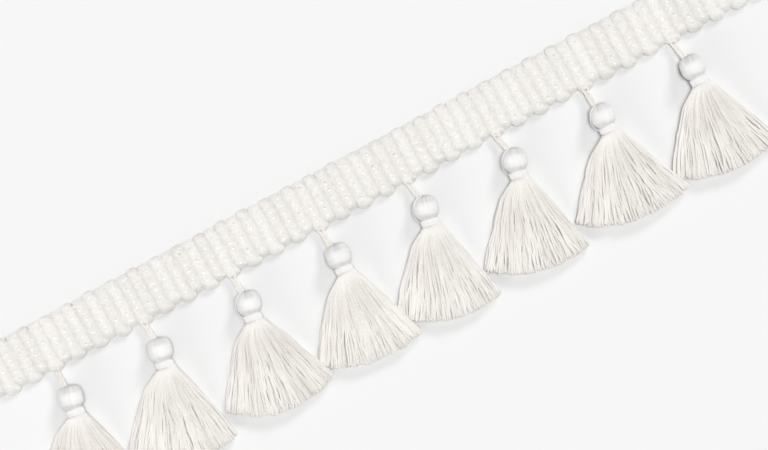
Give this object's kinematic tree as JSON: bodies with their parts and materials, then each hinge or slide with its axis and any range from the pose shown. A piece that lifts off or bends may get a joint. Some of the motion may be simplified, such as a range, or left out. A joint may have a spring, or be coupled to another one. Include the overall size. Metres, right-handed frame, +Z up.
{
  "type": "tassel fringe trim",
  "caption": "Cut length of ivory tassel fringe trim lying flat: a ribbed gimp braid heading with small bound yarn tassels hung on cord loops along one edge.",
  "frame": {"origin": "middle of the heading's flat back", "axes": "+X along the heading, -Y towards the tassels' tips, +Z up out of the face of the trim"},
  "size_m": [0.2527, 0.057, 0.0073],
  "materials": {
    "heading_gimp": "ivory viscose gimp cord in close ribs, crossed by fine warp threads, soft sheen",
    "hanger_cord": "ivory twisted viscose cord, soft sheen",
    "tassel_yarn": "ivory viscose yarn, satin laid over the head and loose in the skirt",
    "binding_thread": "ivory satin thread, wound tight"
  },
  "bodies": {
    "root": {"heading": "heading_gimp", "tassel_1_hanger": "hanger_cord", "tassel_1_yarn": "tassel_yarn", "tassel_1_binding": "binding_thread", "tassel_2_hanger": "hanger_cord", "tassel_2_yarn": "tassel_yarn", "tassel_2_binding": "binding_thread", "tassel_3_hanger": "hanger_cord", "tassel_3_yarn": "tassel_yarn", "tassel_3_binding": "binding_thread", "tassel_4_hanger": "hanger_cord", "tassel_4_yarn": "tassel_yarn", "tassel_4_binding": "binding_thread", "tassel_5_hanger": "hanger_cord", "tassel_5_yarn": "tassel_yarn", "tassel_5_binding": "binding_thread", "tassel_6_hanger": "hanger_cord", "tassel_6_yarn": "tassel_yarn", "tassel_6_binding": "binding_thread", "tassel_7_hanger": "hanger_cord", "tassel_7_yarn": "tassel_yarn", "tassel_7_binding": "binding_thread", "tassel_8_hanger": "hanger_cord", "tassel_8_yarn": "tassel_yarn", "tassel_8_binding": "binding_thread"}
  },
  "joints": []
}
